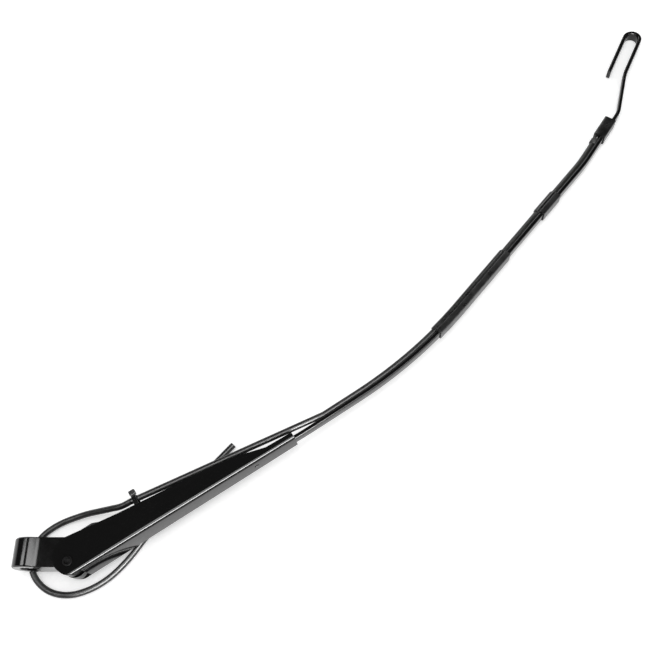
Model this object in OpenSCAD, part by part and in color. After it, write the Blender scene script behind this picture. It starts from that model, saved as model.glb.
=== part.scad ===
/* [Mounting head] */
// Outer diameter of the round boss that clamps on the wiper spindle
boss_d = 36; // [30:0.5:42]
// Height of the boss along the spindle
boss_h = 28.4; // [24:0.2:34]
// Diameter of the smooth bore for the spindle
bore_d = 17; // [12:0.5:20]
// Depth of the conical seat under the clamping nut
seat_depth = 2; // [1:0.5:4]
// Width of the tongue that runs between the channel's sides
tongue_w = 28.6; // [25:0.2:29]
// Radius of the tongue round the pivot
tongue_r = 12.5; // [11:0.5:13]
// Distance from the spindle's axis to the pivot, across the spindle
pivot_x = 43.5; // [42:0.5:50]
// How far the pivot lies below the middle of the boss, away from the glass
pivot_drop = 9; // [6:0.5:11]
// Width of the slot in the tongue for the spring link
slot_w = 7; // [6.6:0.2:10]

/* [Pivot] */
// Diameter of the pivot rivet's shank
pin_d = 8; // [6:0.2:9]
// Diameter of the rivet's formed heads
pin_head_d = 9.8; // [9.4:0.2:13]
// Height of each formed head
pin_head_h = 0.9; // [0.5:0.1:2]
// Wall of the bush in the tongue
bush_wall = 1.25; // [1:0.05:1.5]
// Outer diameter of the washers beside the tongue
washer_d = 19; // [14:0.5:22]
// Thickness of each washer
washer_t = 0.8; // [0.5:0.1:1]

/* [Channel] */
// Direction of the channel from the line that runs from spindle to pivot
arm_angle = 32.5; // [20:0.5:40]
// Length of the channel from the pivot to its far end
channel_len = 245; // [225:1:300]
// Outer width of the channel at the pivot
channel_w = 35; // [34.4:0.2:42]
// Outer width of the channel at its far end
channel_end_w = 25; // [23:0.2:29]
// Thickness of the folded sheet
sheet_t = 2; // [1.6:0.1:2.4]
// Inside radius of the folds
fold_r = 1.5; // [1:0.1:2]
// Distance from the pivot to the outer face of the web
web_depth = 14; // [13.8:0.1:16]
// Radius of the rounded end of each side
side_r = 18.2; // [17:0.1:20]
// Height of each side, above the web's outer face, 60 mm from the pivot
side_h = 29.3; // [26:0.1:32]
// Height of each side where the ramp down to the rod starts
ramp_h = 18.3; // [14:0.1:22]
// Distance from the pivot to the start of that ramp
ramp_start = 178; // [150:1:182]
// Distance from the pivot to the foot of that ramp
ramp_end = 216; // [205:1:222]
// Height of each side along the rod, at the channel's far end
lip_h = 7.2; // [6:0.1:9]

/* [Rod and hook] */
// Width of the flat rod
rod_w = 12; // [10:0.2:12.4]
// Thickness of the flat rod
rod_t = 4.5; // [4:0.1:5.5]
// Slope of the rod down to the plane that the arm lies on
rod_cant = 1.55; // [0:0.05:2]
// How far the rod lies below the channel's middle, at the channel's far end
rod_drop = 2.5; // [0:0.1:3]
// Length of the rod's sweep towards the glass
bend_len = 147; // [120:1:180]
// Angle of that sweep
bend_angle = 16.7; // [8:0.1:24]
// Length of the straight stretch that carries the hose clips
straight_len = 219; // [205:1:280]
// Width of the hook
hook_w = 12; // [8:0.5:12]
// Thickness of the hook
hook_t = 4.2; // [3:0.1:4.4]
// Clear gap inside the hook
hook_gap = 13.4; // [8:0.2:16]
// Length of the hook's free leg
hook_leg = 58; // [25:1:62]

/* [Spring] */
// Outer diameter of the tension spring
spring_d = 16; // [14:0.2:16.4]
// Diameter of the spring's wire
wire_d = 3.4; // [2.4:0.1:3.4]
// Distance from the pivot to the pin that holds the spring link
link_pin_r = 13; // [12.6:0.1:14]
// Direction of that pin seen from the pivot, measured from the channel
link_pin_angle = 100; // [92:1:108]
// Diameter of that pin
link_pin_d = 6; // [5:0.2:7]
// Thickness of the spring link
link_t = 6; // [4:0.2:6]
// Distance between the spring link's two eyes
link_len = 49; // [47:0.5:52]
// Width of the spring link's curved bar
link_w = 8; // [6:0.2:9]

/* [Hose and clips] */
// Outer diameter of the washer hose
hose_d = 6.35; // [5:0.05:6.5]
// Wall of the clips
clip_wall = 1.2; // [1:0.1:2]
// Length of the long clip
long_clip_len = 120; // [60:1:130]
// Length of the short clip
short_clip_len = 31; // [16:1:60]
// Length of the nozzle block at the hook
block_len = 27; // [20:1:36]
// Diameter of the nozzle's mouth
jet_d = 1.2; // [0.6:0.1:2]
// Width of the cable tie's strap
tie_w = 4.8; // [3:0.1:6]

/* [Hidden] */
$fn = 64;

// Overlap that joins the pieces of one solid, and how far a cut runs past a face
lap = 0.02;
past = 20;
// Clearances: turning pivots, pressed pins, and what lies against a soft piece
run_gap = 0.05;
press_gap = 0.02;
soft_gap = 0.15;

// Head, whose tongue is a fork with two cheeks
bevel = 1.2;
bush_r = pin_d / 2 + bush_wall;
slot_start = pivot_x - 16;
neck_start = 14;
neck_w = tongue_w + 2;
seat_flare = 1.6;

// Channel, in its own frame: x from the pivot along the channel, y towards the glass
inner_half = channel_w / 2 - sheet_t;
taper = atan((channel_w - channel_end_w) / 2 / channel_len);
web_start = 7.3;
web_in = -web_depth + sheet_t;
side_x = 4.8;
knee_x = 60;

// Rod: lengths and turns of its stretches, from the tang that holds the spring
tang_x = channel_len - 79;
tang_r = 3.5;
tang_rise = 6;
rod_y = web_in + rod_t / 2;
tang_y = rod_y + tang_r;
spring_y = 0;
eye_r = 2.6;
rivet_x = channel_len - 46;
rivet_d = 3.4;
rivet_cap = 0.5;
tang_len = tang_rise + tang_r * PI / 2;
rod_in = channel_len - tang_x - tang_r;
first_len = 30;
first_angle = 1.5;
second_len = 47;
block_bend = 20;
block_angle = 6.2;
neck_len = 67;
block_at = 31;
rod_path = [
    [tang_rise, 0], [tang_r * PI / 2, 90], [rod_in, 0], [first_len, first_angle], [second_len, 0], [bend_len, bend_angle],
    [straight_len, 0], [block_bend, block_angle], [neck_len, 0]
];
// Hook: two opposed bends of the neck, shank, round end and free leg
hook_r = (hook_gap + hook_t) / 2;
hook_path = [
    [10, 19.1], [47, 0], [10, -10.9], [49, 0], [hook_r * PI, 180], [hook_leg, 0]
];
full_path = concat(rod_path, hook_path);
rod_len = lengths(full_path);
rod_from = [tang_x, tang_y + tang_rise, -90];
bend_s = tang_len + rod_in + first_len + second_len;
block_s = bend_s + bend_len + straight_len + block_bend + block_at;
rod_end_s = block_s + 8;
edge_r = 1;

// Hose and clips, beside the rod on the glass side
hose_off = rod_t / 2 + soft_gap + hose_d / 2;
long_clip_s = bend_s + bend_len - 38;
short_clip_s = block_s - 125;
clip_lip = 3;
sleeve_len = 6;
barb_len = 5;
barb_r = 2.2;
hose_end_s = block_s - barb_len;
hose_lift_s = tang_len + rod_in + 38;
hose_step = 17;
hose_sides = 10;
block_side = 9.9;
jet_s = block_s + block_len * 0.62;

// Link and spring: the link's pin, its far eye and the rod's tang lie on one line
pin_at = link_pin_r * [cos(link_pin_angle), sin(link_pin_angle)];
tang_at = [tang_x, spring_y];
pull = atan2(tang_at.y - pin_at.y, tang_at.x - pin_at.x);
eye_at = pin_at + link_len * [cos(pull), sin(pull)];
eye_outer = 6;
loop_r = 6;
tang_loop_r = 4.5;
coil_r = (spring_d - wire_d) / 2;
coil_from = 2 * loop_r + wire_d / 2;
coil_to = norm(tang_at - eye_at) - tang_loop_r - wire_d / 2;
pitch = wire_d + 0.3;
turns = floor((coil_to - coil_from) / pitch);
turn_steps = 10;
wire_sides = 6;

// Cable tie
strap_t = 1.2;
tie_block = [6.4, 5.2, 4.4];
tie_in = 2;
tie_drop = 0.7;
tie_slack = 0.9;

// The arm lies on its side, on the hose that runs below the boss
lie_z = -21.4;

// Free stretch of the hose, from the tie to its cut end
tail_points = [
    [94, 52, 0], [83, 47.5, -3], [71, 46, -7], [57, 44.5, -12], [44, 43, -16.5],
    [31, 40, -19.8], [19, 36, lie_z], [8, 30, lie_z], [-2, 21.5, lie_z], [-8, 11, lie_z],
    [-10, -1, lie_z], [-7, -13, lie_z], [0, -23, lie_z], [11, -31, lie_z], [24, -35, lie_z],
    [38, -35, lie_z], [52, -31, lie_z], [64, -25, lie_z], [75, -17, lie_z], [85, -7, lie_z],
    [94, 4, lie_z], [103, 17, lie_z], [113, 30, lie_z], [123, 43, lie_z], [134, 55, lie_z],
    [145, 67, lie_z], [156, 79, lie_z], [167, 91, lie_z], [178, 103, lie_z], [189, 115, lie_z]
];

// Turns a point of the row's frame into the channel's own frame
function in_arm(p) = let (d = [p.x - pivot_x, p.y + pivot_drop]) [
    d.x * cos(arm_angle) + d.y * sin(arm_angle),
    -d.x * sin(arm_angle) + d.y * cos(arm_angle),
    p.z
];
tie_at = in_arm(tail_points[0]);

// Place and heading reached after a stretch of a path, [length, turn], from [x, y, heading]
function step_on(p, go) = go[1] == 0
    ? [p.x + go[0] * cos(p.z), p.y + go[0] * sin(p.z), p.z]
    : let (r = go[0] / (go[1] * PI / 180)) [
        p.x + r * (sin(p.z + go[1]) - sin(p.z)),
        p.y - r * (cos(p.z + go[1]) - cos(p.z)),
        p.z + go[1]
    ];
// The part of a path between two distances from its start
function cut_path(path, s0, s1, i = 0) = i == len(path)
    ? []
    : let (a = max(s0, 0), b = min(s1, path[i][0])) concat(
        b > a ? [[b - a, path[i][1] * (b - a) / path[i][0]]] : [],
        cut_path(path, s0 - path[i][0], s1 - path[i][0], i + 1)
    );
function lengths(path, i = 0) = i == len(path) ? 0 : path[i][0] + lengths(path, i + 1);
function walk(p, path, i = 0) = i == len(path) ? p : walk(step_on(p, path[i]), path, i + 1);
// Place and heading on the rod at a distance from its start, moved sideways by off
function on_rod(s, off = 0) = let (p = walk(rod_from, cut_path(full_path, 0, s))) [
    p.x - off * sin(p.z), p.y + off * cos(p.z), p.z
];

// Leaves the plane of the channel by rod_drop and rod_cant, at the channel's far end
function canted(p) = let (d = p.x - channel_len) [
    channel_len + d * cos(rod_cant) + p.z * sin(rod_cant),
    p.y,
    -d * sin(rod_cant) + p.z * cos(rod_cant) - rod_drop
];

// Rings of a tube round a line of points, and the closed tube itself
function unit(v) = v / norm(v);
function tangent(pts, i) = unit(pts[min(i + 1, len(pts) - 1)] - pts[max(i - 1, 0)]);
function across(v, t) = unit(v - (v * t) * t);
function frames(pts, ref) = [
    for (i = 0, s = across(ref, tangent(pts, 0)); i < len(pts);
        i = i + 1, s = across(s, tangent(pts, min(i, len(pts) - 1)))) s
];
module tube(pts, r, n, ref = [0, 0, 1]) {
    side = frames(pts, ref);
    points = [
        for (i = [0 : len(pts) - 1], k = [0 : n - 1])
            let (u = cross(tangent(pts, i), side[i]))
                pts[i] + r * (cos(360 * k / n) * side[i] + sin(360 * k / n) * u)
    ];
    skin(points, len(pts), n);
}

// Closed solid from rings of points that run anticlockwise round the way ahead
module skin(points, rings, n) {
    sides = [
        for (i = [0 : rings - 2], k = [0 : n - 1])
            let (a = i * n + k, b = i * n + (k + 1) % n)
                each [[a, a + n, b + n], [a, b + n, b]]
    ];
    first = [for (k = [0 : n - 1]) k];
    last = [for (k = [n - 1 : -1 : 0]) (rings - 1) * n + k];
    polyhedron(points, concat(sides, [first, last]), convexity = 8);
}

module in_arm_frame() {
    translate([pivot_x, -pivot_drop, 0]) rotate([0, 0, arm_angle]) children();
}

module in_rod_frame() {
    in_arm_frame()
        translate([channel_len, 0, -rod_drop]) rotate([0, rod_cant, 0]) translate([-channel_len, 0, 0])
            children();
}

// Distances at which a swept section is drawn: the ends of the stretches, and along bends
function bend_steps(go) = go[1] == 0
    ? 1
    : ceil(max(abs(go[1]) / 9, min(go[0] / 12, 2 * abs(go[1]))));
function stops(path, i = 0, s = 0) = i == len(path)
    ? [s]
    : concat(
        [for (k = [0 : bend_steps(path[i]) - 1]) s + path[i][0] * k / bend_steps(path[i])],
        stops(path, i + 1, s + path[i][0])
    );
rod_stops = stops(full_path);
function stops_within(s0, s1) = concat(
    [s0], [for (s = rod_stops) if (s > s0 + 0.2 && s < s1 - 0.2) s], [s1]
);

// Sweeps a convex section, x to the left of the rod and y up, along the rod
module along_rod(s0, s1, section) {
    at = stops_within(s0, min(s1, rod_len));
    points = [
        for (s = at) let (p = on_rod(s), c = cos(p.z), d = sin(p.z))
            for (q = section) [p.x - q.x * d, p.y + q.x * c, q.y]
    ];
    skin(points, len(at), len(section));
}

// Sections: a rectangle with round corners, and a circle, moved sideways by off
function bar_section(size, r, off = 0) = [
    for (c = [[1, 1, 0], [-1, 1, 90], [-1, -1, 180], [1, -1, 270]], k = [0 : 3])
        let (a = c.z + 30 * k)
            [off + c.x * (size.x / 2 - r) + r * cos(a), c.y * (size.y / 2 - r) + r * sin(a)]
];
function round_section(r, off, n = 20) = [
    for (k = [0 : n - 1]) [off + r * cos(360 * k / n), r * sin(360 * k / n)]
];

// Bar with round ends between two points
module link_bar(p, q, w) {
    hull() {
        translate(p) circle(d = w, $fn = 32);
        translate(q) circle(d = w, $fn = 32);
    }
}

module head() {
    color([0.03, 0.03, 0.035]) difference() {
        union() {
            rotate([90, 0, 0]) translate([0, 0, -boss_h / 2]) rotate_extrude() polygon([
                [0, 0], [boss_d / 2 - bevel, 0], [boss_d / 2, bevel], [boss_d / 2, boss_h - bevel],
                [boss_d / 2 - bevel, boss_h], [0, boss_h]
            ]);
            intersection() {
                translate([0, 0, -boss_d / 2]) linear_extrude(boss_d) tongue_side();
                rotate([90, 0, 0]) translate([0, 0, -boss_d]) linear_extrude(2 * boss_d) polygon([
                    [0, -neck_w / 2], [neck_start, -neck_w / 2], [slot_start - 4, -tongue_w / 2],
                    [2 * pivot_x, -tongue_w / 2], [2 * pivot_x, tongue_w / 2],
                    [slot_start - 4, tongue_w / 2], [neck_start, neck_w / 2], [0, neck_w / 2]
                ]);
            }
        }
        rotate([90, 0, 0]) cylinder(d = bore_d, h = boss_h + 2 * past, center = true);
        translate([0, -boss_h / 2 - lap, 0]) rotate([-90, 0, 0])
            cylinder(d1 = bore_d + 2 * seat_flare, d2 = bore_d, h = seat_depth + lap);
        translate([slot_start, -2 * boss_h, -slot_w / 2]) cube([2 * pivot_x, 4 * boss_h, slot_w]);
        translate([pivot_x, -pivot_drop, -boss_d]) cylinder(r = bush_r, h = 2 * boss_d);
        in_arm_frame() translate([pin_at.x, pin_at.y, -boss_d])
            cylinder(d = link_pin_d, h = 2 * boss_d);
    }
}

// Side view of the tongue: flush with the boss towards the glass, round at the pivot
module tongue_side() {
    translate([0, -boss_h / 2]) square([pivot_x - 9, boss_h]);
    translate([pivot_x, -pivot_drop]) circle(tongue_r);
    polygon([
        [pivot_x - 12, boss_h / 2], [pivot_x - 4, boss_h / 2], [pivot_x + 2, boss_h / 2 - 4],
        [pivot_x + tongue_r * cos(40), -pivot_drop + tongue_r * sin(40)],
        [pivot_x, -pivot_drop], [pivot_x + tongue_r * cos(250), -pivot_drop + tongue_r * sin(250)],
        [pivot_x - 13.5, -boss_h / 2]
    ]);
}

module pivot_bush() {
    color([0.55, 0.45, 0.25]) translate([pivot_x, -pivot_drop, 0]) difference() {
        cylinder(r = bush_r - press_gap, h = tongue_w, center = true);
        cylinder(d = pin_d + 2 * run_gap, h = tongue_w + 1, center = true);
    }
}

// Tubular rivet with a dished end on each side of the channel
module pivot_pin() {
    seat = channel_w / 2 + pin_head_d / 2 * tan(taper) + press_gap;
    color([0.12, 0.12, 0.13]) translate([pivot_x, -pivot_drop, 0]) difference() {
        union() {
            cylinder(d = pin_d, h = 2 * seat + lap, center = true);
            for (s = [-1, 1]) translate([0, 0, s * (seat + pin_head_h / 2)])
                cylinder(d = pin_head_d, h = pin_head_h, center = true);
        }
        for (s = [-1, 1]) translate([0, 0, s * (seat + pin_head_h)])
            cylinder(d = pin_head_d * 0.62, h = 2.4, center = true);
    }
}

module pivot_washers() {
    gap = inner_half - washer_d / 2 * tan(taper) - tongue_w / 2;
    color([0.3, 0.3, 0.32]) translate([pivot_x, -pivot_drop, 0]) for (s = [-1, 1])
        translate([0, 0, s * (tongue_w + gap) / 2]) difference() {
            cylinder(d = washer_d, h = min(washer_t, gap - 0.1), center = true);
            cylinder(d = pin_d + 4 * run_gap, h = 2, center = true);
        }
}

// Half of the sheet's section, with its fold, x towards the glass and y up
module half_section(w) {
    difference() {
        fold_outline(w, -web_depth, fold_r + sheet_t);
        fold_outline(w - sheet_t, web_in, fold_r);
    }
}

module fold_outline(w, x, r) {
    translate([x + r, -past]) square([3 * past, past + w]);
    translate([x, -past]) square([3 * past, past + w - r]);
    translate([x + r, w - r]) circle(r);
}

module half_channel() {
    translate([0, 0, channel_w / 2]) rotate([0, taper, 0])
        translate([-2 * side_r, 0, -channel_w / 2]) rotate([90, 0, 90])
            linear_extrude(channel_len + 3 * side_r) half_section(channel_w / 2);
}

// Side view of the folded sheet
module channel_side() {
    translate([side_x, side_r - web_depth]) circle(side_r, $fn = 96);
    polygon([
        [side_x, -web_depth], [channel_len, -web_depth], [channel_len, lip_h - web_depth],
        [ramp_end, lip_h + 0.6 - web_depth], [ramp_start, ramp_h - web_depth],
        [knee_x, side_h - web_depth],
        [side_x + side_r * sin(8.5), side_r - web_depth + side_r * cos(8.5)]
    ]);
}

module channel() {
    color([0.03, 0.03, 0.035]) in_arm_frame() difference() {
        intersection() {
            union() {
                for (m = [0, 1]) mirror([0, 0, m]) intersection() {
                    half_channel();
                    translate([-channel_len, -channel_len, 0]) cube([3, 3, 1] * channel_len);
                }
            }
            translate([0, 0, -channel_w]) linear_extrude(2 * channel_w) channel_side();
        }
        translate([-past - lap, -web_depth - past, -inner_half])
            cube([past + web_start + lap, 2 * past, 2 * inner_half]);
        cylinder(r = pin_d / 2 + press_gap, h = 2 * channel_w, center = true);
        translate([rivet_x, rod_y, 0]) rotate([90, 0, 0])
            cylinder(d = rivet_d + 2 * press_gap, h = 2 * rod_t + 2 * sheet_t, center = true);
    }
}

module rod() {
    color([0.04, 0.04, 0.045]) difference() {
        in_rod_frame() {
            along_rod(0, rod_end_s, bar_section([rod_t, rod_w], edge_r));
            along_rod(rod_end_s - 1, rod_len, bar_section([hook_t, hook_w], edge_r));
        }
        in_arm_frame() {
            translate([tang_x, spring_y - tang_loop_r, 0]) rotate([0, 90, 0])
                cylinder(r = eye_r, h = 2 * rod_t, center = true);
            translate([rivet_x, rod_y, 0]) rotate([90, 0, 0])
                cylinder(d = rivet_d + 4 * press_gap, h = 2 * rod_t, center = true);
        }
    }
}

module rod_rivet() {
    grip = sheet_t + rod_t + 2 * run_gap;
    color([0.03, 0.03, 0.03]) in_arm_frame()
        translate([rivet_x, -web_depth - press_gap, 0]) rotate([-90, 0, 0]) {
            cylinder(d = rivet_d, h = grip + lap);
            translate([0, 0, -rivet_cap]) cylinder(d = rivet_d + 1.6, h = rivet_cap);
            translate([0, 0, grip]) cylinder(d = rivet_d + 2, h = 2 * rivet_cap);
        }
}

// Curved link that goes round the pivot, from the head's pin to the spring
module spring_link() {
    rise = [for (p = [[8.3, 9.4], [33, 11.5], [45, 7.5]])
        pin_at + [p.x * cos(pull) - p.y * sin(pull), p.x * sin(pull) + p.y * cos(pull)]];
    color([0.2, 0.2, 0.22]) in_arm_frame()
        translate([0, 0, -link_t / 2]) linear_extrude(link_t) difference() {
            union() {
                translate(pin_at) circle(link_pin_d / 2 + 3.4);
                link_bar(pin_at, rise[0], link_w);
                link_bar(rise[0], rise[1], link_w);
                link_bar(rise[1], rise[2], link_w);
                link_bar(rise[2], eye_at, link_w);
                translate(eye_at) circle(eye_outer);
            }
            translate(pin_at) circle(link_pin_d / 2 + run_gap);
            translate(eye_at) circle(wire_d / 2 + 1.3);
        }
}

module link_pin() {
    color([0.5, 0.5, 0.52]) in_arm_frame() translate([pin_at.x, pin_at.y, 0])
        cylinder(d = link_pin_d - 2 * press_gap, h = tongue_w, center = true);
}

// Tension spring: close-wound coil with a closed loop at each end
module spring() {
    span = norm(tang_at - eye_at);
    coil = [
        for (i = [0 : turns * turn_steps]) let (a = 360 * i / turn_steps)
            [coil_from + pitch * i / turn_steps, coil_r * cos(a), coil_r * sin(a)]
    ];
    color([0.35, 0.35, 0.37]) in_arm_frame()
        translate([eye_at.x, eye_at.y, 0]) rotate([0, 0, pull]) {
            tube(coil, wire_d / 2, wire_sides, [0, 1, 0]);
            translate([loop_r, 0, 0]) rotate([90, 0, 0]) wire_loop(loop_r);
            translate([span, 0, 0]) wire_loop(tang_loop_r);
            wire_bar([2 * loop_r, 0, 0], coil[0]);
            wire_bar(coil[len(coil) - 1], [span - tang_loop_r, 0, 0]);
        }
}

module wire_loop(r) {
    rotate_extrude($fn = 24) translate([r, 0]) circle(d = wire_d, $fn = 13);
}

module wire_bar(p, q) {
    d = unit(q - p);
    tube([p, q + d * wire_d / 4], wire_d / 2.1, 8, [0, 0, 1]);
}

// Hose along the rod, then straight over the open channel to the tie
module hose() {
    n = ceil((hose_end_s - hose_lift_s) / hose_step);
    held = [
        for (i = [0 : n])
            let (p = on_rod(hose_end_s + (hose_lift_s - hose_end_s) * i / n, hose_off))
                canted([p.x, p.y, 0])
    ];
    last = held[n];
    m = ceil(norm(tie_at - last) / hose_step);
    over = [for (i = [1 : m]) last + (tie_at - last) * i / m];
    color([0.1, 0.1, 0.1]) in_arm_frame() tube(concat(held, over), hose_d / 2, hose_sides);
}

module hose_tail() {
    color([0.1, 0.1, 0.1]) tube(tail_points, hose_d / 2, hose_sides);
}

// Clip that snaps over the rod from the glass side and holds the hose in its round lobe
module clip(s0, s1) {
    color([0.06, 0.06, 0.06]) in_rod_frame() difference() {
        union() {
            along_rod(s0, s1, bar_section([rod_t, rod_w] + [2, 2] * clip_wall, edge_r + clip_wall));
            along_rod(s0, s1, round_section(hose_d / 2 + soft_gap + clip_wall, hose_off));
        }
        along_rod(s0 - 1, s1 + 1, bar_section([rod_t, rod_w] + [2, 2] * soft_gap, edge_r));
        along_rod(s0 - 1, s1 + 1, round_section(hose_d / 2 + 2 * soft_gap, hose_off));
        along_rod(s0 - 1, s1 + 1, bar_section([2 * rod_t, rod_w - 2 * clip_lip], edge_r, -1.2 * rod_t));
    }
}

module long_clip() {
    clip(long_clip_s, long_clip_s + long_clip_len);
}

module short_clip() {
    clip(short_clip_s, short_clip_s + short_clip_len);
}

// Block that carries the nozzle and takes the hose, clipped on where the rod meets the hook
module nozzle_block() {
    low = -rod_t / 2 - clip_wall;
    color([0.06, 0.06, 0.06]) in_rod_frame() difference() {
        along_rod(block_s, block_s + block_len,
            bar_section([block_side - low, rod_w + 2 * clip_wall], 1.5, (block_side + low) / 2));
        along_rod(block_s - 1, rod_end_s + soft_gap,
            bar_section([rod_t, rod_w] + [2, 2] * soft_gap, edge_r));
        along_rod(rod_end_s - 1, block_s + block_len + 1,
            bar_section([hook_t, hook_w] + [2, 2] * soft_gap, edge_r));
        along_rod(block_s - 1, block_s + 8, round_section(barb_r + soft_gap, hose_off));
        on_block(jet_s) cylinder(d = 4 + 2 * press_gap, h = 2);
    }
}

// Frame on the block's glass side, z out of the block
module on_block(s) {
    p = on_rod(s, block_side);
    translate([p.x, p.y, 0]) rotate([0, 0, p.z]) rotate([-90, 0, 0]) translate([0, 0, -1.6])
        children();
}

module nozzle_jet() {
    color([0.5, 0.5, 0.5]) in_rod_frame() on_block(jet_s) difference() {
        cylinder(d = 4, h = 2.2);
        translate([0, 0, 1]) cylinder(d = jet_d, h = 3);
    }
}

module hose_barb() {
    color([0.1, 0.1, 0.1]) in_rod_frame()
        along_rod(hose_end_s, block_s + 8, round_section(barb_r, hose_off));
}

module barb_sleeve() {
    color([0.08, 0.08, 0.08]) in_rod_frame() difference() {
        along_rod(hose_end_s - sleeve_len, hose_end_s + 1,
            round_section(hose_d / 2 + 1.2, hose_off));
        along_rod(hose_end_s - sleeve_len - 1, hose_end_s + 2,
            round_section(hose_d / 2 + soft_gap, hose_off));
        along_rod(hose_end_s - sleeve_len - 1, hose_end_s + 2,
            bar_section([rod_t, rod_w] + [2, 2] * soft_gap, edge_r));
    }
}

// Cable tie: strap round the spring and the hose, and its head
module tie_strap() {
    spring_at = eye_at + tan(pull) * [0, tie_at.x + tie_in - eye_at.x];
    color([0.05, 0.05, 0.05]) in_arm_frame()
        translate([tie_at.x + tie_in, 0, 0]) rotate([90, 0, 90]) linear_extrude(tie_w)
            difference() {
                tie_loop(spring_at.y, strap_t);
                tie_loop(spring_at.y, 0);
            }
}

module tie_loop(y, t) {
    hull() {
        translate([y, 0]) circle(spring_d / 2 + 0.5 + t);
        translate([tie_at.y - tie_drop, 0]) circle(hose_d / 2 + tie_slack + t);
    }
}

module tie_head() {
    color([0.05, 0.05, 0.05]) in_arm_frame()
        translate([
            tie_at.x + tie_in + tie_w / 2 - tie_block.x / 2,
            tie_at.y - tie_drop + hose_d / 2 + tie_slack + strap_t,
            -tie_block.z / 2
        ]) cube(tie_block);
}

head();
pivot_bush();
pivot_pin();
pivot_washers();
channel();
rod();
rod_rivet();
spring();
spring_link();
link_pin();
hose();
hose_tail();
long_clip();
short_clip();
nozzle_block();
nozzle_jet();
hose_barb();
barb_sleeve();
tie_strap();
tie_head();
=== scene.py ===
"""Looks of a wiper arm, made as an add-on: one operator for each piece or group of pieces."""

import math

import bmesh
import bpy
from bpy.props import FloatProperty, IntProperty, PointerProperty
from mathutils import Euler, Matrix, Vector

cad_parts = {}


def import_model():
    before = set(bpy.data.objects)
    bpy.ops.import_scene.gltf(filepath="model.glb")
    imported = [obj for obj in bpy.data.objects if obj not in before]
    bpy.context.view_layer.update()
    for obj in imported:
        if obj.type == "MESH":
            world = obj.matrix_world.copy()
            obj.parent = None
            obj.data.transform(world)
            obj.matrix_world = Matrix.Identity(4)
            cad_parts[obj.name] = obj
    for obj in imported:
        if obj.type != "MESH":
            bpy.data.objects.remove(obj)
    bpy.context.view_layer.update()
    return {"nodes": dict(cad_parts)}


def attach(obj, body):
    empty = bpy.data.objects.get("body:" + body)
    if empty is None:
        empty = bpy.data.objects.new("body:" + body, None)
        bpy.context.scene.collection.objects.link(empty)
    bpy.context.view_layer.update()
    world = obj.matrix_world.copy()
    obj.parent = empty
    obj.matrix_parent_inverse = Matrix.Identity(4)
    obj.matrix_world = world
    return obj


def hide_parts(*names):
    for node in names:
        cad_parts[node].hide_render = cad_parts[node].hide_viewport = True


bl_info = {
    "name": "Wiper Arm Looks",
    "version": (1, 0, 0),
    "blender": (4, 5, 0),
    "location": "3D View > Sidebar > Wiper Arm",
    "description": "Builds the shown pieces of a wiper arm round its CAD frame",
    "category": "Object",
}

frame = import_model()

MM = 0.001

# The CAD source's own sizes, in millimetres
PIVOT = (43.5, -9.0)
ARM_ANGLE = 32.5
CHANNEL_LEN, CHANNEL_W, CHANNEL_END_W, WEB_DEPTH, SHEET = 245.0, 35.0, 25.0, 14.0, 2.0
PIN_D, PIN_HEAD_D, PIN_HEAD_H = 8.0, 9.8, 0.9
ROD_W, ROD_T, ROD_CANT, ROD_DROP = 12.0, 4.5, 1.55, 2.5
TANG_X, TANG_R, TANG_RISE = CHANNEL_LEN - 79, 3.5, 6.0
ROD_Y = -WEB_DEPTH + SHEET + ROD_T / 2
HOOK_W, HOOK_T, HOOK_GAP, HOOK_LEG = 12.0, 4.2, 13.4, 58.0
HOOK_R = (HOOK_GAP + HOOK_T) / 2
TANG_LEN = TANG_RISE + TANG_R * math.pi / 2
ROD_IN = CHANNEL_LEN - TANG_X - TANG_R
ROD_PATH = [
    (TANG_RISE, 0), (TANG_R * math.pi / 2, 90), (ROD_IN, 0), (30, 1.5), (47, 0), (147, 16.7),
    (219, 0), (20, 6.2), (67, 0), (10, 19.1), (47, 0), (10, -10.9), (49, 0), (HOOK_R * math.pi, 180),
    (HOOK_LEG, 0),
]
ROD_LEN = sum(length for length, _ in ROD_PATH)
BEND_S = TANG_LEN + ROD_IN + 77
BLOCK_S = BEND_S + 417
ROD_END_S = BLOCK_S + 8
LONG_CLIP = (BEND_S + 109, BEND_S + 229)
SHORT_CLIP = (BLOCK_S - 125, BLOCK_S - 94)
HOSE_D, CLIP_WALL, SOFT_GAP = 6.35, 1.2, 0.15
HOSE_OFF = ROD_T / 2 + SOFT_GAP + HOSE_D / 2
HOSE_END_S = BLOCK_S - 5
HOSE_LIFT_S = TANG_LEN + ROD_IN + 38
LINK_PIN_R, LINK_PIN_ANGLE, LINK_LEN = 13.0, 100.0, 49.0
SPRING_D, WIRE_D = 16.0, 3.4
LIE_Z = -21.4
# How closely a sweep along the rod is drawn: degrees and length of a step, and how clear it stays of the ends
STOP_DEG, STOP_LEN, STOP_CLEAR = 4.0, 12.0, 0.3

# The stage, in metres and degrees: the camera as solved from the photograph, and the floor and backdrop
CAMERA_AT, CAMERA_TURN = (0.3826, -0.1407, 0.8396), (24.2498, 6.2286, 1.0737)
LENS_MM, SENSOR_MM = 48.57, 36.0
FLOOR_Z, FLOOR_HALF, FLOOR_GREY, FLOOR_GLOW = -0.0249, 6.0, 0.86, 0.42
# Backdrop: its level for diffuse rays, and in reflections white below the first height, dim above the second
SKY_DIFFUSE, SKY_DIM, SKY_HEIGHTS = 0.72, 0.04, (0.04, 0.14)

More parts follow.
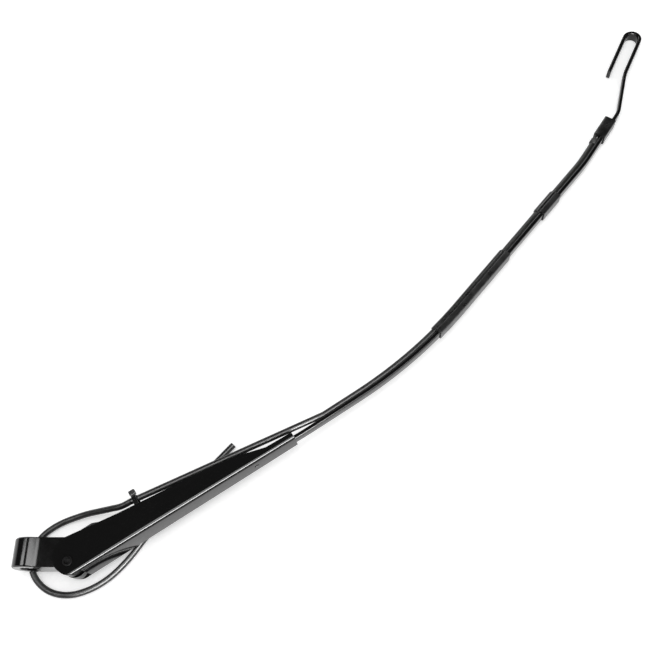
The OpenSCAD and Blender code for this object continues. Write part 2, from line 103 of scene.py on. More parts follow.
# Free stretch of the hose, from the tie to its cut end, as the CAD source states it
TAIL_POINTS = [
    (94, 52, 0), (83, 47.5, -3), (71, 46, -7), (57, 44.5, -12), (44, 43, -16.5), (31, 40, -19.8),
    (19, 36, LIE_Z), (8, 30, LIE_Z), (-2, 21.5, LIE_Z), (-8, 11, LIE_Z), (-10, -1, LIE_Z),
    (-7, -13, LIE_Z), (0, -23, LIE_Z), (11, -31, LIE_Z), (24, -35, LIE_Z), (38, -35, LIE_Z),
    (52, -31, LIE_Z), (64, -25, LIE_Z), (75, -17, LIE_Z), (85, -7, LIE_Z), (94, 4, LIE_Z),
    (103, 17, LIE_Z), (113, 30, LIE_Z), (123, 43, LIE_Z), (134, 55, LIE_Z), (145, 67, LIE_Z),
    (156, 79, LIE_Z), (167, 91, LIE_Z), (178, 103, LIE_Z), (189, 115, LIE_Z),
]


# ---- places: the channel's own frame, and distances along the rod ----
def world(p):
    """A point of the channel's frame, in millimetres, as a point of the row frame in metres."""
    a = math.radians(ARM_ANGLE)
    return Vector((
        PIVOT[0] + p[0] * math.cos(a) - p[1] * math.sin(a),
        PIVOT[1] + p[0] * math.sin(a) + p[1] * math.cos(a),
        p[2],
    )) * MM


def canted(p):
    """Slopes a point of the rod's plane down from the channel's far end."""
    d = p[0] - CHANNEL_LEN
    c, s = math.cos(math.radians(ROD_CANT)), math.sin(math.radians(ROD_CANT))
    return (CHANNEL_LEN + d * c + p[2] * s, p[1], -d * s + p[2] * c - ROD_DROP)


def on_rod(s, off=0.0):
    """Place and heading on the rod's line at a distance from its start, moved sideways by off."""
    x, y, h = TANG_X, ROD_Y + TANG_R + TANG_RISE, -90.0
    for i, (length, turn) in enumerate(ROD_PATH):
        go = min(s, length) if i < len(ROD_PATH) - 1 else s
        part = turn * go / length
        if turn:
            r = length / math.radians(turn)
            a, b = math.radians(h), math.radians(h + part)
            x, y = x + r * (math.sin(b) - math.sin(a)), y - r * (math.cos(b) - math.cos(a))
        else:
            x, y = x + go * math.cos(math.radians(h)), y + go * math.sin(math.radians(h))
        h += part
        s -= go
        if s <= 1e-9:
            break
    a = math.radians(h)
    return x - off * math.sin(a), y + off * math.cos(a), h


def rod_point(s, off=0.0, up=0.0):
    x, y, _ = on_rod(s, off)
    return world(canted((x, y, up)))


def stops(s0, s1):
    """Distances at which a sweep along the rod is drawn: close together where it bends."""
    found, s = [s0], 0.0
    for length, turn in ROD_PATH:
        n = max(1, math.ceil(abs(turn) / STOP_DEG), math.ceil(length / STOP_LEN) if turn else 1)
        at = [s + length * k / n for k in range(n + 1)]
        found += [v for v in at if s0 + STOP_CLEAR < v < s1 - STOP_CLEAR]
        s += length
    return sorted(set(round(v, 4) for v in [*found, s1]))


def rod_ring(s, section):
    return [rod_point(s, x, y) for x, y in section]


# ---- sections: x towards the glass, y up ----
def rounded(w, h, r, n=6, off=0.0):
    out = []
    for sx, sy, a0 in ((1, 1, 0), (-1, 1, 90), (-1, -1, 180), (1, -1, 270)):
        for k in range(n + 1):
            a = math.radians(a0 + 90 * k / n)
            out.append((off + sx * (w / 2 - r) + r * math.cos(a), sy * (h / 2 - r) + r * math.sin(a)))
    return out


def disc(r, n=32, off=0.0):
    return [(off + r * math.cos(2 * math.pi * k / n), r * math.sin(2 * math.pi * k / n)) for k in range(n)]


# ---- meshes ----
def new_piece(name, verts, faces, smooth_deg=38):
    mesh = bpy.data.meshes.new(name)
    mesh.from_pydata([tuple(v) for v in verts], [], faces)
    mesh.validate()
    bm = bmesh.new()
    bm.from_mesh(mesh)
    bmesh.ops.recalc_face_normals(bm, faces=bm.faces)
    bm.to_mesh(mesh)
    bm.free()
    shade(mesh, smooth_deg)
    piece = bpy.data.objects.new(name, mesh)
    bpy.context.scene.collection.objects.link(piece)
    return piece


def shade(mesh, smooth_deg):
    mesh.polygons.foreach_set("use_smooth", [True] * len(mesh.polygons))
    mesh.set_sharp_from_angle(angle=math.radians(smooth_deg))


def end_faces(count, n):
    """The two faces that close a skin of count vertices, made of rings of n."""
    return [tuple(range(n - 1, -1, -1)), tuple(range(count - n, count))]


def lofted(rings, capped=True):
    """Vertices and faces of a skin through rings of as many points each, closed at its ends if capped."""
    n = len(rings[0])
    verts = [p for ring in rings for p in ring]
    faces = [
        (i * n + k, i * n + (k + 1) % n, (i + 1) * n + (k + 1) % n, (i + 1) * n + k)
        for i in range(len(rings) - 1) for k in range(n)
    ]
    if capped:
        faces += end_faces(len(verts), n)
    return verts, faces


def swept(points, section, ref=(0, 0, 1)):
    """Rings of a section carried along a line of points without twisting."""
    pts = [Vector(p) for p in points]
    rings, side = [], Vector(ref)
    for i, p in enumerate(pts):
        t = (pts[min(i + 1, len(pts) - 1)] - pts[max(i - 1, 0)]).normalized()
        side = (side - side.dot(t) * t).normalized()
        up = t.cross(side)
        rings.append([p + side * x + up * y for x, y in section])
    return rings


def smooth_line(points, step):
    """Points at even steps on a smooth line through the given points."""
    pts = [Vector(p) for p in points]
    ends = [2 * pts[0] - pts[1], *pts, 2 * pts[-1] - pts[-2]]
    fine = []
    for i in range(1, len(ends) - 2):
        p0, p1, p2, p3 = ends[i - 1:i + 3]
        for k in range(12):
            t = k / 12
            fine.append(0.5 * (
                2 * p1 + (p2 - p0) * t + (2 * p0 - 5 * p1 + 4 * p2 - p3) * t * t
                + (3 * p1 - p0 - 3 * p2 + p3) * t ** 3
            ))
    fine.append(pts[-1])
    run = [0.0]
    for a, b in zip(fine, fine[1:]):
        run.append(run[-1] + (b - a).length)
    n = max(2, round(run[-1] / step))
    out, j = [], 0
    for i in range(n + 1):
        want = run[-1] * i / n
        while j < len(run) - 2 and run[j + 1] < want:
            j += 1
        t = (want - run[j]) / max(run[j + 1] - run[j], 1e-9)
        out.append(fine[j].lerp(fine[j + 1], t))
    return out


def revolved(profile, n):
    """Vertices and faces of a profile of (r, z) pairs turned round Z."""
    turn = [2 * math.pi * k / n for k in range(n)]
    rings = [[Vector((r * math.cos(a), r * math.sin(a), z)) for a in turn] for r, z in profile]
    return lofted(rings)


def arc(cx, cy, r, a0, a1, n=6):
    return [(cx + r * math.cos(math.radians(a0 + (a1 - a0) * k / n)),
             cy + r * math.sin(math.radians(a0 + (a1 - a0) * k / n))) for k in range(n + 1)]


def softened(node, name, width, segments=3, angle=32):
    """A copy of a CAD node with its flat faces made whole and its edges rounded."""
    mesh = frame["nodes"][node].data.copy()
    mesh.name = name
    mesh.materials.clear()
    bm = bmesh.new()
    bm.from_mesh(mesh)
    bmesh.ops.remove_doubles(bm, verts=bm.verts, dist=2e-6)
    bmesh.ops.dissolve_limit(bm, angle_limit=math.radians(0.6), verts=bm.verts, edges=bm.edges)
    bmesh.ops.recalc_face_normals(bm, faces=bm.faces)
    bm.to_mesh(mesh)
    bm.free()
    for layer in list(mesh.attributes):
        if layer.name in ("custom_normal", "sharp_face", "sharp_edge"):
            mesh.attributes.remove(layer)
    shade(mesh, angle)
    piece = bpy.data.objects.new(name, mesh)
    bpy.context.scene.collection.objects.link(piece)
    round_edges(piece, width, segments, angle)
    return piece


def round_edges(piece, width, segments=3, angle=32):
    mod = piece.modifiers.new("Rounded edges", "BEVEL")
    mod.width = width * MM
    mod.segments = segments
    mod.limit_method = "ANGLE"
    mod.angle_limit = math.radians(angle)
    mod.miter_outer = "MITER_ARC"
    mod.harden_normals = True


def place(piece, body, slot, node):
    """Gives a piece its slot's look and its body, and hides the CAD node that it stands for."""
    piece.data.materials.append(look(slot))
    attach(piece, body)
    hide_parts(node)


# ---- shader node groups ----
def group(name, inputs, outputs):
    found = bpy.data.node_groups.get(name)
    if found:
        return found, None, None
    g = bpy.data.node_groups.new(name, "ShaderNodeTree")
    for label, kind, value in inputs:
        s = g.interface.new_socket(label, in_out="INPUT", socket_type=kind)
        if value is not None:
            s.default_value = value
    for label, kind in outputs:
        g.interface.new_socket(label, in_out="OUTPUT", socket_type=kind)
    return g, g.nodes.new("NodeGroupInput"), g.nodes.new("NodeGroupOutput")


def noise(tree, where, scale, detail=3.0, roughness=0.5):
    n = tree.nodes.new("ShaderNodeTexNoise")
    n.inputs["Detail"].default_value = detail
    n.inputs["Roughness"].default_value = roughness
    tree.links.new(where, n.inputs["Vector"])
    if isinstance(scale, (int, float)):
        n.inputs["Scale"].default_value = scale
    else:
        tree.links.new(scale, n.inputs["Scale"])
    return n.outputs["Fac"]


def remap(tree, value, low, high, to_low=0.0, to_high=1.0):
    n = tree.nodes.new("ShaderNodeMapRange")
    n.inputs["From Min"].default_value = low
    n.inputs["From Max"].default_value = high
    n.inputs["To Min"].default_value = to_low
    n.inputs["To Max"].default_value = to_high
    tree.links.new(value, n.inputs["Value"])
    return n.outputs["Result"]


def maths(tree, operation, a, b):
    n = tree.nodes.new("ShaderNodeMath")
    n.operation = operation
    for i, v in enumerate((a, b)):
        if isinstance(v, (int, float)):
            n.inputs[i].default_value = v
        else:
            tree.links.new(v, n.inputs[i])
    return n.outputs[0]


def blended(tree, factor, a, b):
    """Colour b over colour a."""
    n = tree.nodes.new("ShaderNodeMix")
    n.data_type = "RGBA"
    sockets = [x for x in n.inputs if x.enabled]
    for source, socket in zip((factor, a, b), sockets):
        tree.links.new(source, socket)
    return next(x for x in n.outputs if x.enabled)


def paint_group():
    """Sprayed paint: a slight orange peel, uneven gloss and a faint film of dust."""
    g, i, o = group(
        "Sprayed Paint",
        [("Peel Scale", "NodeSocketFloat", 900.0), ("Roughness", "NodeSocketFloat", 0.25),
         ("Unevenness", "NodeSocketFloat", 0.08), ("Dust", "NodeSocketFloat", 0.1),
         ("Paint", "NodeSocketColor", (0.01, 0.01, 0.011, 1)),
         ("Dust Colour", "NodeSocketColor", (0.12, 0.12, 0.125, 1))],
        [("Color", "NodeSocketColor"), ("Roughness", "NodeSocketFloat"), ("Height", "NodeSocketFloat")],
    )
    if i is None:
        return g
    where = g.nodes.new("ShaderNodeTexCoord").outputs["Object"]
    peel = noise(g, where, i.outputs["Peel Scale"], 2.0)
    patches = noise(g, where, 60.0, 4.0, 0.6)
    specks = noise(g, where, 2600.0, 1.0)
    dusty = maths(g, "MULTIPLY", remap(g, specks, 0.6, 0.78), remap(g, patches, 0.35, 0.7))
    dusty = maths(g, "MULTIPLY", dusty, i.outputs["Dust"])
    color = blended(g, dusty, i.outputs["Paint"], i.outputs["Dust Colour"])
    uneven = maths(g, "MULTIPLY", remap(g, patches, 0.3, 0.7, -0.5, 0.5), i.outputs["Unevenness"])
    rough = maths(g, "ADD", maths(g, "ADD", i.outputs["Roughness"], uneven), maths(g, "MULTIPLY", dusty, 0.3))
    g.links.new(color, o.inputs["Color"])
    g.links.new(rough, o.inputs["Roughness"])
    g.links.new(peel, o.inputs["Height"])
    return g


def grain_group():
    """Fine grain of moulded rubber, plastic or bare metal: mottled colour, roughness and relief."""
    g, i, o = group(
        "Fine Grain",
        [("Scale", "NodeSocketFloat", 1500.0), ("Dark", "NodeSocketColor", (0.02, 0.02, 0.02, 1)),
         ("Light", "NodeSocketColor", (0.05, 0.05, 0.05, 1)), ("Roughness", "NodeSocketFloat", 0.5),
         ("Unevenness", "NodeSocketFloat", 0.15)],
        [("Color", "NodeSocketColor"), ("Roughness", "NodeSocketFloat"), ("Height", "NodeSocketFloat")],
    )
    if i is None:
        return g
    where = g.nodes.new("ShaderNodeTexCoord").outputs["Object"]
    fine = noise(g, where, i.outputs["Scale"], 3.0, 0.6)
    broad = noise(g, where, 90.0, 3.0, 0.55)
    both = maths(g, "ADD", maths(g, "MULTIPLY", fine, 0.45), maths(g, "MULTIPLY", broad, 0.55))
    spread = remap(g, both, 0.35, 0.65)
    color = blended(g, spread, i.outputs["Dark"], i.outputs["Light"])
    uneven = maths(g, "MULTIPLY", remap(g, broad, 0.3, 0.7, -0.5, 0.5), i.outputs["Unevenness"])
    g.links.new(color, o.inputs["Color"])
    g.links.new(maths(g, "ADD", i.outputs["Roughness"], uneven), o.inputs["Roughness"])
    g.links.new(fine, o.inputs["Height"])
    return g


def material(name, build, relief, metallic=0.0, specular=0.5, **values):
    """A Principled material fed by one of the two groups; relief is the bump's depth in metres."""
    found = bpy.data.materials.get(name)
    if found:
        return found
    m = bpy.data.materials.new(name)
    m.use_nodes = True
    tree = m.node_tree
    shader = tree.nodes["Principled BSDF"]
    shader.inputs["Metallic"].default_value = metallic
    shader.inputs["Specular IOR Level"].default_value = specular
    effect = tree.nodes.new("ShaderNodeGroup")
    effect.node_tree = build()
    for key, value in values.items():
        effect.inputs[key.replace("_", " ")].default_value = value
    bump = tree.nodes.new("ShaderNodeBump")
    bump.inputs["Strength"].default_value = 0.6
    bump.inputs["Distance"].default_value = relief
    tree.links.new(effect.outputs["Color"], shader.inputs["Base Color"])
    tree.links.new(effect.outputs["Roughness"], shader.inputs["Roughness"])
    tree.links.new(effect.outputs["Height"], bump.inputs["Height"])
    tree.links.new(bump.outputs["Normal"], shader.inputs["Normal"])
    return m


def grey(v):
    return (v, v, v, 1)


def look(name):
    """One material for each slot of the record."""
    looks = bpy.context.scene.wiper_arm_looks
    gloss, peel = looks.gloss, looks.peel_depth
    table = {
        "cast_black": (paint_group, 0.5 * peel, dict(
            specular=0.45, Peel_Scale=420.0, Roughness=gloss + 0.07,
            Unevenness=0.04, Dust=0.08, Paint=grey(0.004))),
        "channel_black": (paint_group, 0.15 * peel, dict(
            specular=0.3, Peel_Scale=700.0, Roughness=gloss,
            Unevenness=0.02, Dust=0.02, Paint=grey(0.006))),
        "rod_black": (paint_group, 0.5 * peel, dict(
            specular=0.45, Peel_Scale=800.0, Roughness=gloss + 0.06,
            Unevenness=0.06, Dust=0.05, Paint=grey(0.004))),
        "rivet_black": (paint_group, 0.5 * peel, dict(
            Peel_Scale=1200.0, Roughness=gloss + 0.15, Unevenness=0.1, Dust=0.2, Paint=grey(0.009))),
        "rivet_steel": (paint_group, 0.4 * peel, dict(
            specular=0.06, Peel_Scale=1200.0, Roughness=gloss + 0.3,
            Unevenness=0.1, Dust=0.1, Paint=grey(0.004))),
        "washer_steel": (grain_group, 0.00001, dict(
            metallic=0.9, Scale=1800.0, Dark=grey(0.14), Light=grey(0.24), Roughness=0.38)),
        "bronze": (grain_group, 0.00001, dict(
            metallic=0.95, Scale=1600.0, Dark=(0.28, 0.19, 0.09, 1), Light=(0.42, 0.3, 0.16, 1),
            Roughness=0.38)),
        "spring_steel": (grain_group, 0.00001, dict(
            metallic=0.85, Scale=1500.0, Dark=grey(0.10), Light=grey(0.2), Roughness=0.36)),
        "link_steel": (grain_group, 0.00001, dict(
            Scale=1200.0, Dark=grey(0.008), Light=grey(0.02), Roughness=0.3)),
        "pin_steel": (grain_group, 0.000008, dict(
            metallic=0.95, Scale=2200.0, Dark=grey(0.3), Light=grey(0.45), Roughness=0.3)),
        "hose_rubber": (grain_group, 0.00002, dict(
            Scale=1700.0, Dark=grey(0.007), Light=grey(0.02), Roughness=0.36, Unevenness=0.12)),
        "clip_plastic": (grain_group, 0.000012, dict(
            Scale=900.0, Dark=grey(0.002), Light=grey(0.014), Roughness=0.3, Unevenness=0.1)),
        "block_plastic": (grain_group, 0.00003, dict(
            Scale=700.0, Dark=grey(0.002), Light=grey(0.018), Roughness=0.24, Unevenness=0.1)),
        "jet_metal": (grain_group, 0.000008, dict(
            metallic=0.95, Scale=2200.0, Dark=grey(0.4), Light=grey(0.6), Roughness=0.28)),
        "barb_plastic": (grain_group, 0.00001, dict(
            specular=1.0, Scale=1500.0, Dark=grey(0.008), Light=grey(0.014), Roughness=0.12)),
        "sleeve_rubber": (grain_group, 0.00002, dict(
            Scale=1500.0, Dark=grey(0.014), Light=grey(0.028), Roughness=0.55)),
        "tie_nylon": (grain_group, 0.00001, dict(
            Scale=1600.0, Dark=grey(0.003), Light=grey(0.012), Roughness=0.3)),
    }
    build, relief, values = table[name]
    return material("Look " + name.replace("_", " "), build, relief, **values)


# ---- settings ----
class WiperArmLooks(bpy.types.PropertyGroup):
    gloss: FloatProperty(
        name="Gloss", description="Roughness of the black paint on the channel", default=0.06,
        min=0.05, max=0.6, subtype="FACTOR")
    peel_depth: FloatProperty(
        name="Peel depth", description="Depth of the orange peel in the paint", default=0.00003,
        min=0.0, max=0.001, unit="LENGTH")
    lamp_level: FloatProperty(
        name="Lamp level", description="Level of all the lamps together", default=1.0, min=0.0, max=4.0)


class WiperArmShape(bpy.types.PropertyGroup):
    edge: FloatProperty(
        name="Edge rounding", description="Rounding of the cast head's edges", default=0.0009,
        min=0.0, max=0.003, unit="LENGTH")
    wire_sides: IntProperty(
        name="Wire sides", description="Faces round the spring's wire", default=14, min=6, max=32)
    hose_sides: IntProperty(
        name="Hose sides", description="Faces round the hose", default=28, min=8, max=64)
    hose_bore: FloatProperty(
        name="Hose bore", description="Diameter of the hose's hollow at its cut end", default=0.0036,
        min=0.001, max=0.005, unit="LENGTH")


# ---- operators ----
class Piece:
    bl_options = {"REGISTER", "UNDO"}


class WIPER_OT_tail(Piece, bpy.types.Operator):
    """Makes the free stretch of hose, hollow at its cut end"""

    bl_idname = "wiper.tail"
    bl_label = "Hose tail"

    def execute(self, context):
        shape = context.scene.wiper_arm_shape
        step, edge, lip, mouth, deep = 0.0035, 0.0003, 0.0002, 0.0004, 0.014
        line = smooth_line([Vector(p) * MM for p in TAIL_POINTS], step)
        n, r, bore = shape.hose_sides, HOSE_D / 2 * MM, shape.hose_bore / 2
        rings = swept(line, disc(r, n))
        ahead = (line[-1] - line[-2]).normalized()
        centre = line[-1]

        def ring(radius, back):
            return [centre - ahead * back + (p - centre).normalized() * radius for p in rings[-1]]

        rings[-1] = ring(r, edge)
        rings += [ring(r - edge, 0.0), ring(bore + lip, 0.0), ring(bore, mouth), ring(bore, deep)]
        verts, faces = lofted(rings)
        piece = new_piece("hose_tail_cord", verts, faces)
        place(piece, "arm", "hose_rubber", "hose_tail")
        return {"FINISHED"}


class WIPER_OT_hose(Piece, bpy.types.Operator):
    """Makes the hose along the rod, with its barb and sleeve at the nozzle block"""

    bl_idname = "wiper.hose"
    bl_label = "Hose along the rod"

    def execute(self, context):
        n = context.scene.wiper_arm_shape.hose_sides
        count, free = 120, 24
        run = HOSE_LIFT_S - HOSE_END_S
        held = [rod_point(HOSE_END_S + run * i / count, HOSE_OFF) for i in range(count + 1)]
        tie = Vector(TAIL_POINTS[0]) * MM
        over = [held[-1].lerp(tie, i / free) for i in range(1, free + 1)]
        verts, faces = lofted(swept([*held, *over], disc(HOSE_D / 2 * MM, n)))
        place(new_piece("hose_run", verts, faces), "arm", "hose_rubber", "hose")

        core_r, rib_r, first, pitch = 1.75, 2.2, 1.4, 1.2
        ribs = []
        for k in range(3):
            s = HOSE_END_S + first + k * pitch
            ribs += [(s, core_r), (s + 0.75, rib_r), (s + 0.8, core_r)]
        stem = [(HOSE_END_S, core_r), *ribs, (ROD_END_S, core_r)]
        rings = [rod_ring(s, disc(r, 24, HOSE_OFF)) for s, r in stem]
        verts, faces = lofted(rings)
        place(new_piece("barb", verts, faces), "arm", "barb_plastic", "hose_barb")

        play, edge, dip = 0.1, 0.4, 0.2
        out, inner = HOSE_D / 2 + 1.2, HOSE_D / 2 + play
        profile = [
            (-6, inner), (-6, out - edge), (-5.6, out), (-4.2, out), (-4.0, out - dip),
            (-3.6, out - dip), (-3.4, out), (0.4, out), (0.9, out - edge), (0.9, inner),
        ]
        rings = []
        for s, r in profile:
            ring = [(max(x, ROD_T / 2 + play), y) for x, y in disc(r, 36, HOSE_OFF)]
            rings.append(rod_ring(HOSE_END_S + s, ring))
        verts, faces = lofted(rings, capped=False)
        place(new_piece("sleeve", verts, faces), "arm", "sleeve_rubber", "barb_sleeve")
        return {"FINISHED"}


class WIPER_OT_head(Piece, bpy.types.Operator):
    """Makes the cast mounting head"""

    bl_idname = "wiper.head"
    bl_label = "Mounting head"

    def execute(self, context):
        piece = softened("head", "head_casting", context.scene.wiper_arm_shape.edge / MM, 4)
        place(piece, "head", "cast_black", "head")
        return {"FINISHED"}


class WIPER_OT_pivot(Piece, bpy.types.Operator):
    """Makes the pivot: bush, dished rivet, washers and the link's pin"""

    bl_idname = "wiper.pivot"
    bl_label = "Pivot"

    def execute(self, context):
        taper = (CHANNEL_W - CHANNEL_END_W) / 2 / CHANNEL_LEN
        r, clear, under, edge = PIN_HEAD_D / 2, 0.02, 0.25, 0.45
        seat = CHANNEL_W / 2 + r * taper + clear
        top = seat + PIN_HEAD_H
        half = [(PIN_D / 2, 0.0), (PIN_D / 2, seat), (r - under, seat), (r, seat + under), (r, top - edge)]
        half += arc(r - edge, top - edge, edge, 0, 90, 5)
        dish = ((0.64, 0), (0.58, 0.25), (0.5, 0.95), (0.2, 1.15))
        half += [(r * share, top - down) for share, down in dish]
        both = [(x, -z) for x, z in reversed(half)][:-1] + half
        verts, faces = revolved(both, 48)
        verts = [Vector((PIVOT[0] + v.x, PIVOT[1] + v.y, v.z)) * MM for v in verts]
        place(new_piece("pivot_rivet", verts, faces, 30), "arm", "rivet_steel", "pivot_pin")
        place(softened("pivot_bush", "bush", 0.25, 2), "head", "bronze", "pivot_bush")
        place(softened("pivot_washers", "washers", 0.15, 2), "arm", "washer_steel", "pivot_washers")
        place(softened("link_pin", "link_pin_turned", 0.4, 3), "head", "pin_steel", "link_pin")
        return {"FINISHED"}


class WIPER_OT_channel(Piece, bpy.types.Operator):
    """Makes the folded channel and the rivet that holds the rod in it"""

    bl_idname = "wiper.channel"
    bl_label = "Channel"

    def execute(self, context):
        piece = softened("channel", "channel_sheet", 0.45, 3, 30)
        place(piece, "arm", "channel_black", "channel")
        place(softened("rod_rivet", "rod_rivet_set", 0.3, 3), "arm", "rivet_black", "rod_rivet")
        return {"FINISHED"}


class WIPER_OT_rod(Piece, bpy.types.Operator):
    """Makes the flat rod with its tang and hook in one sweep"""

    bl_idname = "wiper.rod"
    bl_label = "Rod and hook"

    def execute(self, context):
        corner, before, fade = 1.15, 1, 3.0
        rings = []
        for s in stops(0.0, ROD_LEN):
            t = min(1.0, max(0.0, (s - (ROD_END_S - before)) / fade))
            t = t * t * (3 - 2 * t)
            w, th = ROD_W + (HOOK_W - ROD_W) * t, ROD_T + (HOOK_T - ROD_T) * t
            rings.append(rod_ring(s, rounded(th, w, corner)))
        verts, faces = lofted(rings)
        piece = new_piece("rod_bar", verts, faces, 32)
        round_edges(piece, 0.5, 3, 50)
        place(piece, "arm", "rod_black", "rod")
        return {"FINISHED"}


def link_line():
    """The link's pin, its far eye and the spring's tang, in the channel's frame."""
    a = math.radians(LINK_PIN_ANGLE)
    pin = Vector((LINK_PIN_R * math.cos(a), LINK_PIN_R * math.sin(a), 0))
    tang = Vector((TANG_X, 0, 0))
    along = (tang - pin).normalized()
    return pin, pin + LINK_LEN * along, tang, along


class WIPER_OT_spring(Piece, bpy.types.Operator):
    """Makes the tension spring from one length of wire, and the link that goes round the pivot"""

    bl_idname = "wiper.spring"
    bl_label = "Spring and link"

    def execute(self, context):
        n = context.scene.wiper_arm_shape.wire_sides
        _, eye, tang, along = link_line()
        span = (tang - eye).length
        up = Vector((0, 0, 1))
        side = up.cross(along)
        coil_r, loop_r, tang_loop = (SPRING_D - WIRE_D) / 2, 6.0, 4.5
        coil_gap, per_turn, pull_in, step = 0.12, 30, 0.75, 0.0011
        first, last = 2 * loop_r + WIRE_D / 2, span - tang_loop - WIRE_D / 2
        turns = math.floor((last - first) / (WIRE_D + coil_gap))
        pitch = (last - first) / turns

        def at(x, y, z):
            return world(eye + along * x + side * y + up * z)

        line = [at(loop_r + loop_r * math.cos(a), 0, loop_r * math.sin(a))
                for a in (math.radians(40 + 300 * k / 30) for k in range(31))]
        for k in range(turns * per_turn + 1):
            a = -math.pi / 2 - 2 * math.pi * k / per_turn
            near_end = min(k, turns * per_turn - k)
            r = coil_r * min(1.0, pull_in + near_end / (2 * per_turn))
            line.append(at(first + pitch * k / per_turn, r * math.cos(a), r * math.sin(a)))
        line += [at(span + tang_loop * math.cos(a), tang_loop * math.sin(a), 0)
                 for a in (math.radians(210 - 330 * k / 24) for k in range(25))]
        line = smooth_line(line, step)
        verts, faces = lofted(swept(line, disc(WIRE_D / 2 * MM, n), (0.1, 1, 0.2)))
        place(new_piece("spring_wire", verts, faces), "arm", "spring_steel", "spring")
        place(softened("spring_link", "link_plate", 0.6, 3), "link", "link_steel", "spring_link")
        return {"FINISHED"}


def clip_section():
    """Outline of a clip: round the rod, open below it, with the lobe for the hose."""
    wall, gap, slit, corner, back, ledge = CLIP_WALL, SOFT_GAP, 1.5, 1.2, 0.9, 3.1
    out_r = HOSE_D / 2 + gap + wall
    w, h = ROD_T / 2 + wall, ROD_W / 2 + wall
    meet = math.degrees(math.asin((h - ledge) / out_r))
    right = arc(w - corner, h - corner, corner, 90, 20, 5)
    right += [p for p in arc(HOSE_OFF, 0, out_r, 180 - meet, 0, 16) if p[0] > w + 0.15]
    outer = [(-slit, -h), *arc(-w + back, -h + back, back, 270, 180, 5)]
    outer += arc(-w + back, h - back, back, 180, 90, 5)
    outer += right + [(x, -y) for x, y in reversed(right[:-1])] + [(slit, -h)]
    wi, hi, ri = ROD_T / 2 + gap, ROD_W / 2 + gap, 0.6
    cut = math.degrees(math.acos((wi - HOSE_OFF) / (HOSE_D / 2 + 2 * gap)))
    lobe = arc(wi - ri, hi - ri, ri, 90, 0, 4) + arc(HOSE_OFF, 0, HOSE_D / 2 + 2 * gap, cut, 0, 12)
    inner = [(-slit, -hi), *arc(-wi + ri, -hi + ri, ri, 270, 180, 4), *arc(-wi + ri, hi - ri, ri, 180, 90, 4)]
    inner += lobe + [(x, -y) for x, y in reversed(lobe[:-1])] + [(slit, -hi)]
    return outer + list(reversed(inner))


class WIPER_OT_clips(Piece, bpy.types.Operator):
    """Makes the long and the short clip that hold the hose on the rod"""

    bl_idname = "wiper.clips"
    bl_label = "Hose clips"

    def execute(self, context):
        section = clip_section()
        clips = (("clip_long", "long_clip", LONG_CLIP), ("clip_short", "short_clip", SHORT_CLIP))
        for name, node, (s0, s1) in clips:
            rings = [rod_ring(s, section) for s in stops(s0, s1)]
            verts, faces = lofted(rings)
            piece = new_piece(name, verts, faces, 34)
            round_edges(piece, 0.3, 3, 50)
            place(piece, "arm", "clip_plastic", node)
        return {"FINISHED"}


class WIPER_OT_nozzle(Piece, bpy.types.Operator):
    """Makes the nozzle block with its jet"""

    bl_idname = "wiper.nozzle"
    bl_label = "Nozzle block"

    def execute(self, context):
        place(softened("nozzle_block", "block_moulded", 0.45, 4), "arm", "block_plastic", "nozzle_block")
        place(softened("nozzle_jet", "jet", 0.25, 3), "arm", "jet_metal", "nozzle_jet")
        return {"FINISHED"}


class WIPER_OT_tie(Piece, bpy.types.Operator):
    """Makes the cable tie round the spring and the hose"""

    bl_idname = "wiper.tie"
    bl_label = "Cable tie"

    def execute(self, context):
        place(softened("tie_strap", "strap", 0.3, 2), "arm", "tie_nylon", "tie_strap")
        place(softened("tie_head", "strap_lock", 0.7, 4), "arm", "tie_nylon", "tie_head")
        return {"FINISHED"}


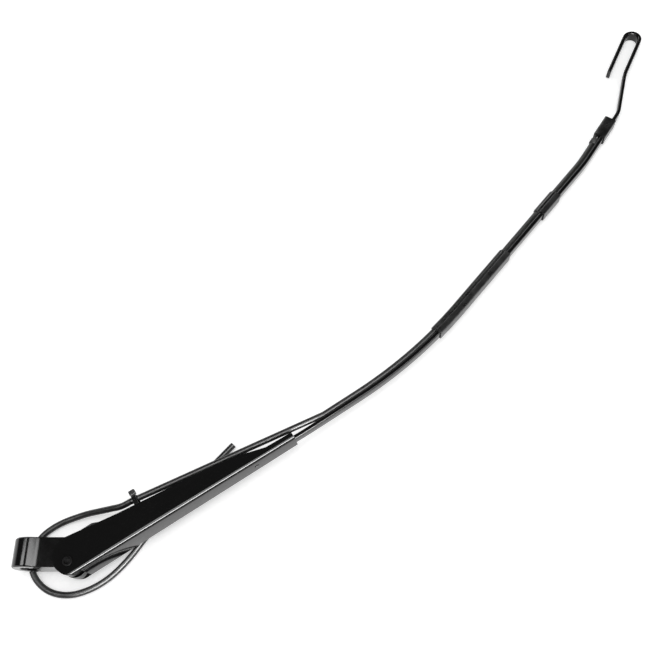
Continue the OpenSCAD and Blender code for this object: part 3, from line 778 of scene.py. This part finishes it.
class WIPER_OT_stage(Piece, bpy.types.Operator):
    """Sets up the camera, the floor, the backdrop's colour and the lamps"""

    bl_idname = "wiper.stage"
    bl_label = "Stage"

    def execute(self, context):
        scene = context.scene
        scene.view_settings.view_transform = "Standard"
        cam = bpy.data.objects.new("Camera", bpy.data.cameras.new("Camera"))
        scene.collection.objects.link(cam)
        scene.camera = cam
        cam.data.lens, cam.data.sensor_width = LENS_MM, SENSOR_MM
        cam.data.clip_start, cam.data.clip_end = 0.01, 20.0
        cam.rotation_mode = "QUATERNION"
        cam.rotation_quaternion = Euler([math.radians(a) for a in CAMERA_TURN]).to_quaternion()
        cam.location = CAMERA_AT
        self.floor()
        self.world(scene)
        self.lamps(scene)
        return {"FINISHED"}

    def seen_directly(self, tree):
        """1 for rays that show the background: from the camera, and by reflection or through glass."""
        path = tree.nodes.new("ShaderNodeLightPath")
        most = maths(tree, "MAXIMUM", path.outputs["Is Camera Ray"], path.outputs["Is Glossy Ray"])
        return maths(tree, "MAXIMUM", most, path.outputs["Is Transmission Ray"])

    def floor(self):
        m = bpy.data.materials.new("Floor")
        m.use_nodes = True
        tree = m.node_tree
        shader = tree.nodes["Principled BSDF"]
        shader.inputs["Base Color"].default_value = grey(FLOOR_GREY)
        shader.inputs["Roughness"].default_value = 0.9
        shader.inputs["Specular IOR Level"].default_value = 0.0
        glow = maths(tree, "MULTIPLY", self.seen_directly(tree), FLOOR_GLOW)
        shader.inputs["Emission Color"].default_value = (1, 1, 1, 1)
        tree.links.new(glow, shader.inputs["Emission Strength"])
        h = FLOOR_HALF
        corners = [Vector((x, y, FLOOR_Z)) for x, y in ((-h, -h), (h, -h), (h, h), (-h, h))]
        floor = new_piece("Floor", corners, [(0, 1, 2, 3)])
        floor.data.materials.append(m)

    def world(self, scene):
        w = bpy.data.worlds.new("Backdrop")
        scene.world = w
        w.use_nodes = True
        tree = w.node_tree
        back = tree.nodes["Background"]
        back.inputs["Color"].default_value = (1, 1, 1, 1)
        path = tree.nodes.new("ShaderNodeLightPath")
        through = maths(tree, "MAXIMUM", path.outputs["Is Camera Ray"], path.outputs["Is Transmission Ray"])
        height = tree.nodes.new("ShaderNodeSeparateXYZ")
        tree.links.new(tree.nodes.new("ShaderNodeTexCoord").outputs["Generated"], height.inputs[0])
        sky = remap(tree, height.outputs["Z"], *SKY_HEIGHTS, 1.0, SKY_DIM)
        mirrored = maths(tree, "MULTIPLY", path.outputs["Is Glossy Ray"], sky)
        seen = maths(tree, "MAXIMUM", through, mirrored)
        diffuse = maths(tree, "MULTIPLY", path.outputs["Is Diffuse Ray"], SKY_DIFFUSE)
        tree.links.new(maths(tree, "MAXIMUM", seen, diffuse), back.inputs["Strength"])

    def lamps(self, scene):
        """The key lights diffuse surfaces. The cards are only mirrored, by the gloss of the paint."""
        level = scene.wiper_arm_looks.lamp_level
        for name, at, aim, size, power, is_key in (
            ("Key", (0.3, 0.2, 1.8), (0.3, 0.2, 0), (0.7, 0.7), 8.0, True),
            ("Front card", (0.5, -0.8, 1.0), (0.2, 0.05, 0), (1.1, 0.5), 75.0, False),
            ("Top card", (1.025, -0.08, 1.0), (1.025, -0.08, 0), (2.35, 0.53), 31.0, False),
            ("Left card", (-0.68, -0.05, 1.0), (-0.68, -0.05, 0), (0.48, 0.5), 5.8, False),
            ("Back card", (0.35, 1.6, 0.95), (0.45, 0.3, 0), (0.5, 0.5), 5.0, False),
        ):
            data = bpy.data.lights.new(name, "AREA")
            data.shape = "RECTANGLE"
            data.size, data.size_y = size
            data.energy = power * level
            lamp = bpy.data.objects.new(name, data)
            lamp.location = at
            lamp.rotation_mode = "QUATERNION"
            lamp.rotation_quaternion = (Vector(aim) - Vector(at)).to_track_quat("-Z", "Y")
            lamp.visible_diffuse = is_key
            lamp.visible_glossy = not is_key
            lamp.visible_camera = False
            scene.collection.objects.link(lamp)


OPERATORS = (
    WIPER_OT_stage, WIPER_OT_tail, WIPER_OT_hose, WIPER_OT_head, WIPER_OT_pivot, WIPER_OT_channel,
    WIPER_OT_rod, WIPER_OT_spring, WIPER_OT_clips, WIPER_OT_nozzle, WIPER_OT_tie,
)


class WIPER_PT_panel(bpy.types.Panel):
    """Lists the steps that build the arm's looks"""

    bl_label = "Wiper Arm"
    bl_idname = "WIPER_PT_panel"
    bl_space_type = "VIEW_3D"
    bl_region_type = "UI"
    bl_category = "Wiper Arm"

    def draw(self, context):
        column = self.layout.column(align=True)
        for settings in (context.scene.wiper_arm_looks, context.scene.wiper_arm_shape):
            for key in settings.__annotations__:
                column.prop(settings, key)
        column = self.layout.column(align=True)
        for cls in OPERATORS:
            column.operator(cls.bl_idname)


CLASSES = (WiperArmLooks, WiperArmShape, *OPERATORS, WIPER_PT_panel)


def register():
    for cls in CLASSES:
        bpy.utils.register_class(cls)
    bpy.types.Scene.wiper_arm_looks = PointerProperty(type=WiperArmLooks)
    bpy.types.Scene.wiper_arm_shape = PointerProperty(type=WiperArmShape)


def unregister():
    del bpy.types.Scene.wiper_arm_shape
    del bpy.types.Scene.wiper_arm_looks
    for cls in reversed(CLASSES):
        bpy.utils.unregister_class(cls)


def main():
    register()
    bpy.ops.wiper.stage()
    bpy.ops.wiper.tail()
    bpy.ops.wiper.hose()
    bpy.ops.wiper.head()
    bpy.ops.wiper.pivot()
    bpy.ops.wiper.channel()
    bpy.ops.wiper.rod()
    bpy.ops.wiper.spring()
    bpy.ops.wiper.clips()
    bpy.ops.wiper.nozzle()
    bpy.ops.wiper.tie()


if __name__ == "__main__":
    main()
